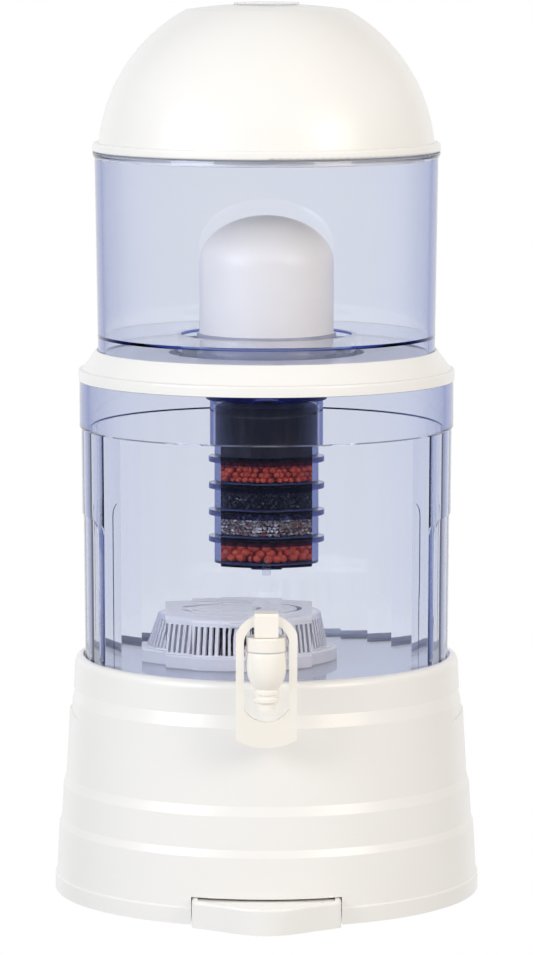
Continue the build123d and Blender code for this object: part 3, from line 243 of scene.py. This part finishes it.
def roughen(piece, amount, seed):
    show_only(piece)
    bpy.ops.object.mode_set(mode="EDIT")
    bpy.ops.mesh.select_all(action="SELECT")
    bpy.ops.transform.vertex_random(offset=amount, uniform=1.0, seed=seed)
    bpy.ops.object.mode_set(mode="OBJECT")


def ring_places(bed, radius, pitch, rings, chance, narrow=1.0):
    low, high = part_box(bed)
    centre = (low + high) / 2
    reach = (high.x - low.x) / 2 - radius
    room = high.z - low.z - 2 * radius
    layers = round(room / (pitch * LAYER_PACKING)) + 1
    step = room / (layers - 1)
    places = []
    for layer in range(layers):
        for ring in range(rings):
            ring_radius = reach - ring * pitch * RING_PACKING
            count = int(2 * math.pi * ring_radius / (pitch * narrow))
            for index in range(count):
                share = index + STAGGER * (layer + ring) + chance.uniform(-TURN_SCATTER, TURN_SCATTER)
                turn = 2 * math.pi * share / count
                give = chance.uniform(0.0, GIVE_SCATTER) * radius
                lift = chance.uniform(-LIFT_SCATTER, LIFT_SCATTER) * radius
                height = low.z + radius + layer * step + lift
                height = min(max(height, low.z + radius), high.z - radius)
                across = centre.x + (ring_radius - give) * math.cos(turn)
                along = centre.y + (ring_radius - give) * math.sin(turn)
                places.append(Vector((across, along, height)))
    return places


def pour(name, grain, places, sizes, chance, narrow=1.0):
    copies = []
    for place in places:
        copy = grain.copy()
        copy.data = grain.data.copy()
        bpy.context.collection.objects.link(copy)
        turn = Euler([chance.uniform(0, 2 * math.pi) for axis in "xyz"]).to_matrix().to_4x4()
        along_ring = Vector((-place.y, place.x, 0.0))
        narrowed = Matrix.Scale(narrow, 4, along_ring.normalized())
        size = Matrix.Scale(chance.uniform(*sizes), 4)
        copy.data.transform(Matrix.Translation(place) @ narrowed @ turn @ size)
        copies.append(copy)
    bpy.data.objects.remove(grain)
    show_only(copies[0])
    for copy in copies:
        copy.select_set(True)
    bpy.ops.object.join()
    bed = bpy.context.object
    bed.name = name
    bed.data.name = name
    return bed


def finish_bed(bed, node, body, material):
    bed.data.materials.clear()
    bed.data.materials.append(material)
    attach(bed, body)
    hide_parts(node)


clay, tree, shader = start_material("red_clay")
mottling = noise_on(tree, scale=260.0, detail=3.0)
colour_by(tree, shader, mottling, (0.3, CLAY_RED_DARK), (0.72, CLAY_RED))
shader.inputs["Roughness"].default_value = 0.62
bump_from(tree, shader, mottling, depth=0.0006)

for node, radius, rings in (("red_balls_small", 0.0021, 4), ("red_balls_large", 0.0031, 3)):
    chance = random.Random(node)
    bpy.ops.object.select_all(action="DESELECT")
    bpy.ops.mesh.primitive_uv_sphere_add(segments=9, ring_count=6, radius=radius)
    ball = bpy.context.object
    roughen(ball, radius * BALL_UNEVEN, seed=3)
    bpy.ops.object.shade_smooth()
    places = ring_places(node, radius, BALL_PITCH * radius, rings, chance, NARROWED)
    bed = pour("clay_balls_" + node, ball, places, BALL_SIZES, chance, NARROWED)
    finish_bed(bed, node, "cartridge", clay)

# Dark granules: crushed black mineral that fills the second cup, loose over its pad.
# The grains are sharp and broken, about three millimetres across, with a slight glint.
GRANULE_BLACK = (0.006, 0.006, 0.008)
GRANULE_GLINT = (0.05, 0.05, 0.06)
GRANULE_R = 0.0021
GRANULE_CORE_R = GRANULE_R * 0.8
GRANULE_UNEVEN = GRANULE_R * 0.3
GRANULE_PITCH = 1.7 * GRANULE_R
GRANULE_RINGS = 4
GRANULE_SIZES = (0.8, 1.05)
granule_stone, tree, shader = start_material("black_granules")
glint = noise_on(tree, scale=420.0, detail=4.0)
colour_by(tree, shader, glint, (0.35, GRANULE_BLACK), (0.8, GRANULE_GLINT))
shader.inputs["Roughness"].default_value = 0.35
bump_from(tree, shader, glint, depth=0.0004)
chance = random.Random("granules")
bpy.ops.object.select_all(action="DESELECT")
bpy.ops.mesh.primitive_ico_sphere_add(subdivisions=1, radius=GRANULE_CORE_R)
granule = bpy.context.object
roughen(granule, GRANULE_UNEVEN, seed=5)
places = ring_places("dark_granules", GRANULE_R, GRANULE_PITCH, GRANULE_RINGS, chance, NARROWED)
bed = pour("granule_bed", granule, places, GRANULE_SIZES, chance, NARROWED)
finish_bed(bed, "dark_granules", "cartridge", granule_stone)

# Mineral sand: mixed grey, brown, red and white grains that fill the third cup, loose over its pad.
# They are broken stone, about two millimetres across, coloured in patches of that size.
SAND_GREY = (0.42, 0.37, 0.33)
SAND_DARK = (0.24, 0.20, 0.18)
SAND_BROWN = (0.30, 0.19, 0.13)
SAND_RED = (0.42, 0.11, 0.06)
SAND_WHITE = (0.88, 0.87, 0.85)
GRAIN_R = 0.0015
GRAIN_CORE_R = GRAIN_R * 0.85
GRAIN_UNEVEN = GRAIN_R * 0.3
GRAIN_PITCH = 1.75 * GRAIN_R
GRAIN_RINGS = 3
GRAIN_SIZES = (0.7, 1.0)
sand, tree, shader = start_material("mixed_sand")
coords = tree.nodes.new("ShaderNodeTexCoord")
cells = tree.nodes.new("ShaderNodeTexVoronoi")
cells.inputs["Scale"].default_value = 420.0
tree.links.new(coords.outputs["Object"], cells.inputs["Vector"])
split = tree.nodes.new("ShaderNodeSeparateColor")
tree.links.new(cells.outputs["Color"], split.inputs["Color"])
colour_by(
    tree,
    shader,
    split.outputs["Red"],
    (0.0, SAND_GREY),
    (0.28, SAND_DARK),
    (0.50, SAND_BROWN),
    (0.70, SAND_RED),
    (0.77, SAND_WHITE),
    interpolation="CONSTANT",
)
shader.inputs["Roughness"].default_value = 0.55
chance = random.Random("sand")
bpy.ops.object.select_all(action="DESELECT")
bpy.ops.mesh.primitive_ico_sphere_add(subdivisions=1, radius=GRAIN_CORE_R)
grain = bpy.context.object
roughen(grain, GRAIN_UNEVEN, seed=8)
places = ring_places("mineral_sand", GRAIN_R, GRAIN_PITCH, GRAIN_RINGS, chance, NARROWED)
bed = pour("sand_bed", grain, places, GRAIN_SIZES, chance, NARROWED)
finish_bed(bed, "mineral_sand", "cartridge", sand)

# Mineral basket: a base, a slotted drum and a slotted lid that twists on, standing on the tank's floor.
# All three are moulded in a milky, half clear lavender grey plastic.
BASKET_DEEP = (0.86, 0.855, 0.88)
BASKET_PALE = (0.90, 0.895, 0.92)
BASKET_LAMP_TINT = (0.3, 0.3, 0.34)
basket_plastic, tree, shader = start_material("basket_plastic_milky")
colour_by(tree, shader, noise_on(tree, scale=30.0), (0.3, BASKET_DEEP), (0.7, BASKET_PALE))
shader.inputs["Roughness"].default_value = 0.25
shader.inputs["IOR"].default_value = 1.49
shader.inputs["Transmission Weight"].default_value = 0.2
let_lamps_through(tree, shader, BASKET_LAMP_TINT)
dress(basket_plastic, "basket_base", "basket_grille", "basket_lid")

# Mineral stones: dark tumbled pebbles, loose in the basket behind its slots.
# Each is about a centimetre across, worn smooth, with a grainy skin.
PEBBLE_DARK = (0.02, 0.02, 0.024)
PEBBLE_GREY = (0.085, 0.08, 0.085)
STONE_R = 0.0058
STONE_CORE_R = STONE_R * 0.9
STONE_UNEVEN = STONE_R * 0.12
STONE_PITCH = 1.85 * STONE_R
STONE_RINGS = 5
STONE_SIZES = (0.85, 1.0)
pebble, tree, shader = start_material("dark_pebbles")
grainy = noise_on(tree, scale=160.0, detail=5.0)
colour_by(tree, shader, grainy, (0.3, PEBBLE_DARK), (0.75, PEBBLE_GREY))
shader.inputs["Roughness"].default_value = 0.45
bump_from(tree, shader, grainy, depth=0.0004)
chance = random.Random("stones")
bpy.ops.object.select_all(action="DESELECT")
bpy.ops.mesh.primitive_ico_sphere_add(subdivisions=2, radius=STONE_CORE_R)
stone = bpy.context.object
roughen(stone, STONE_UNEVEN, seed=11)
bpy.ops.object.shade_smooth()
places = ring_places("mineral_stones", STONE_R, STONE_PITCH, STONE_RINGS, chance)
bed = pour("stone_bed", stone, places, STONE_SIZES, chance)
finish_bed(bed, "mineral_stones", "basket", pebble)

# Seals, washers and the cartridge's ring: soft pieces between the hard ones, which keep the water in.
# They are moulded in milky silicone.
SILICONE_DEEP = (0.55, 0.56, 0.58)
SILICONE_PALE = (0.66, 0.67, 0.69)
silicone, tree, shader = start_material("silicone_milky")
colour_by(tree, shader, noise_on(tree, scale=60.0), (0.3, SILICONE_DEEP), (0.7, SILICONE_PALE))
shader.inputs["Roughness"].default_value = 0.5
shader.inputs["Subsurface Weight"].default_value = 0.2
shader.inputs["Subsurface Radius"].default_value = (0.002, 0.002, 0.002)
shader.inputs["Subsurface Scale"].default_value = 1.0
dress(silicone, "tap_outer_washer", "tap_inner_washer", "tap_bonnet_gasket", "tap_seal")
dress(silicone, "ceramic_gasket", "stem_washer", "cartridge_oring")

# Tap stem and lever pin: the rod that opens the valve, and the pin of its lever.
# Both are turned from stainless steel, which leaves fine marks on them.
STEEL_DARK = (0.50, 0.50, 0.51)
STEEL_PALE = (0.66, 0.66, 0.67)
steel, tree, shader = start_material("turned_steel")
marks = noise_on(tree, scale=900.0, stretch=(0.05, 0.05, 1.0))
colour_by(tree, shader, marks, (0.3, STEEL_DARK), (0.7, STEEL_PALE))
shader.inputs["Metallic"].default_value = 1.0
shader.inputs["Roughness"].default_value = 0.3
dress(steel, "tap_stem", "tap_lever_pin")

# Ceramic dome: the filter itself, a dome that stands on its base in the upper tank.
# It is slip-cast white ceramic, fired and left unglazed, with a fine even grain.
CERAMIC_DEEP = (0.865, 0.838, 0.795)
CERAMIC_PALE = (0.895, 0.868, 0.825)
ceramic, tree, shader = start_material("white_ceramic_bisque")
bisque = noise_on(tree, scale=700.0, detail=3.0)
colour_by(tree, shader, bisque, (0.3, CERAMIC_DEEP), (0.7, CERAMIC_PALE))
shader.inputs["Roughness"].default_value = 0.32
bump_from(tree, shader, bisque, depth=0.00005)
dress(ceramic, "ceramic_dome")

# Ceramic filter's base and wing nut: grey plastic mouldings that clamp the dome in the tank's well.
# The base carries the hollow stem, and the nut turns on it from below.
GREY_DEEP = (0.40, 0.40, 0.46)
GREY_PALE = (0.46, 0.46, 0.52)
grey_plastic, tree, shader = start_material("grey_plastic_satin")
colour_by(tree, shader, noise_on(tree, scale=120.0), (0.3, GREY_DEEP), (0.7, GREY_PALE))
shader.inputs["Roughness"].default_value = 0.4
dress(grey_plastic, "ceramic_base", "wing_nut")

# Crown disc: a round plug let into the lid's crown.
# It is moulded in clear plastic, with a slight haze.
DISC_DEEP = (0.90, 0.905, 0.91)
DISC_PALE = (0.94, 0.945, 0.95)
DISC_LAMP_TINT = (0.92, 0.92, 0.93)
crown_plastic, tree, shader = start_material("clear_plastic_disc")
colour_by(tree, shader, noise_on(tree, scale=30.0), (0.3, DISC_DEEP), (0.7, DISC_PALE))
shader.inputs["Roughness"].default_value = 0.08
shader.inputs["IOR"].default_value = 1.49
shader.inputs["Transmission Weight"].default_value = 0.85
let_lamps_through(tree, shader, DISC_LAMP_TINT)
dress(crown_plastic, "lid_crown_disc")

# Table: one long white sheet under the filter, which keeps the filter's soft shadow.
# To what looks at it straight, in a reflection or through the tanks it also glows, more so far behind, so it
# stays white to its far end.
TABLE_LENGTH = 80.0
TABLE_WIDTH = 2.6
TABLE_FRONT = -0.45
TABLE_DEEP = (0.72, 0.72, 0.72)
TABLE_PALE = (0.74, 0.74, 0.74)
TABLE_GLOW = (0.46, 0.74)
TABLE_GLOW_FADE = (-0.1, 1.6)


def combine(tree, operation, first, second, clamp=False):
    node = tree.nodes.new("ShaderNodeMath")
    node.operation = operation
    node.use_clamp = clamp
    tree.links.new(first, node.inputs[0])
    tree.links.new(second, node.inputs[1])
    return node.outputs["Value"]


def fade_over(tree, source, edge, levels, interpolation="LINEAR"):
    fade = tree.nodes.new("ShaderNodeMapRange")
    fade.interpolation_type = interpolation
    fade.inputs["From Min"].default_value, fade.inputs["From Max"].default_value = edge
    fade.inputs["To Min"].default_value, fade.inputs["To Max"].default_value = levels
    tree.links.new(source, fade.inputs["Value"])
    return fade.outputs["Result"]


bpy.ops.object.select_all(action="DESELECT")
bpy.ops.mesh.primitive_plane_add(
    size=1.0,
    location=(0.0, TABLE_FRONT + TABLE_LENGTH / 2, 0.0),
    scale=(TABLE_WIDTH, TABLE_LENGTH, 1.0),
)
bpy.ops.object.transform_apply(location=True, scale=True)
table = bpy.context.object
table.name = "table"
table_white, tree, shader = start_material("table_white")
colour_by(tree, shader, noise_on(tree, scale=4.0), (0.3, TABLE_DEEP), (0.7, TABLE_PALE))
shader.inputs["Roughness"].default_value = 0.9
shader.inputs["Specular IOR Level"].default_value = 0.1
rays = tree.nodes.new("ShaderNodeLightPath")
looked_at = rays.outputs["Is Camera Ray"]
for ray in ("Is Glossy Ray", "Is Transmission Ray"):
    looked_at = combine(tree, "MAXIMUM", looked_at, rays.outputs[ray])
coords = tree.nodes.new("ShaderNodeTexCoord")
axes = tree.nodes.new("ShaderNodeSeparateXYZ")
tree.links.new(coords.outputs["Object"], axes.inputs["Vector"])
far = fade_over(tree, axes.outputs["Y"], TABLE_GLOW_FADE, TABLE_GLOW)
shader.inputs["Emission Color"].default_value = (1.0, 1.0, 1.0, 1.0)
tree.links.new(combine(tree, "MULTIPLY", looked_at, far), shader.inputs["Emission Strength"])
table.data.materials.append(table_white)

# Studio room: pale walls with a grey ceiling and a white screen behind the filter.
# The walls are white straight through the tanks from every side, and dim blue where a tank's own wall mirrors
# them, as at its edges.
ROOM_WHITE = (1.0, 1.0, 1.0)
ROOM_DARK = 0.05
WALL_FILL = 0.73
CEILING_GLOW = 0.5
CEILING_EDGE = (0.1, 0.5)
SCREEN_GLOW = 1.0
SCREEN_EDGE = (0.45, 0.93)
MIRRORED_BLUE = (0.37, 0.42, 0.66)
MIRRORED_DARK = (0.07, 0.08, 0.16)
MIRRORED_LOW = (-0.03, 0.04)
MIRRORED_FRONT = (-0.4, 0.3)
world = bpy.data.worlds.new("studio")
bpy.context.scene.world = world
world.use_nodes = True
tree = world.node_tree
direction = tree.nodes.new("ShaderNodeTexCoord")
axes = tree.nodes.new("ShaderNodeSeparateXYZ")
tree.links.new(direction.outputs["Generated"], axes.inputs["Vector"])
rays = tree.nodes.new("ShaderNodeLightPath")
diffuse_depth = rays.outputs["Diffuse Depth"]
seen_through = combine(tree, "SUBTRACT", rays.outputs["Is Transmission Ray"], diffuse_depth, clamp=True)
mirrored = combine(tree, "MULTIPLY", seen_through, rays.outputs["Glossy Depth"], clamp=True)
for axis, edge, least in (("Z", MIRRORED_LOW, 0.0), ("Y", MIRRORED_FRONT, 0.5)):
    share = fade_over(tree, axes.outputs[axis], edge, (1.0, least))
    mirrored = combine(tree, "MULTIPLY", mirrored, share)
ceiling = fade_over(tree, axes.outputs["Z"], CEILING_EDGE, (ROOM_DARK, CEILING_GLOW), "SMOOTHSTEP")
screen = fade_over(tree, axes.outputs["Y"], SCREEN_EDGE, (ROOM_DARK, SCREEN_GLOW), "SMOOTHSTEP")
walls = fade_over(tree, diffuse_depth, (0.0, 1.0), (0.0, WALL_FILL))
strength = rays.outputs["Is Camera Ray"]
for lit in (ceiling, screen, walls, seen_through):
    strength = combine(tree, "MAXIMUM", strength, lit)
mirrored_colour = ramp_from(tree, mirrored, (0.0, ROOM_WHITE), (0.5, MIRRORED_BLUE), (1.0, MIRRORED_DARK))
room = tree.nodes["Background"]
tree.links.new(strength, room.inputs["Strength"])
tree.links.new(mirrored_colour, room.inputs["Color"])

# Softboxes: a wide one at the left front gives most of the light, and a smaller, warmer one fills the right.
# Both stand higher than the lid and are aimed near the filter's middle.
LIT_PLACE = Vector((0.0, 0.0, 0.33))
SOFTBOX_H = 0.65
for name, place, width, watts, colour in (
    ("softbox_left", Vector((-1.6, -1.3, 1.0)), 1.2, 18.5, (0.98, 0.99, 1.0)),
    ("softbox_right", Vector((1.3, -1.3, 1.0)), 0.9, 12.5, (1.0, 0.87, 0.70)),
):
    bpy.ops.object.light_add(type="AREA", location=place)
    softbox = bpy.context.object
    softbox.name = name
    softbox.rotation_euler = (LIT_PLACE - place).to_track_quat("-Z", "Y").to_euler()
    softbox.data.shape = "RECTANGLE"
    softbox.data.size = width
    softbox.data.size_y = SOFTBOX_H
    softbox.data.energy = watts
    softbox.data.color = colour

# Camera: a long lens in front of the filter, a little above the lid and tilted down.
# The picture is upright, so the sensor's width lies along its height.
CAMERA_PLACE = (0.0, -3.399, 0.685)
CAMERA_TILT = 6.8
LENS_MM = 190.6
SENSOR_MM = 36.0
bpy.ops.object.camera_add(location=CAMERA_PLACE, rotation=(math.radians(90.0 - CAMERA_TILT), 0.0, 0.0))
camera = bpy.context.object
camera.data.lens = LENS_MM
camera.data.sensor_width = SENSOR_MM
bpy.context.scene.camera = camera
bpy.context.scene.view_settings.view_transform = "Standard"
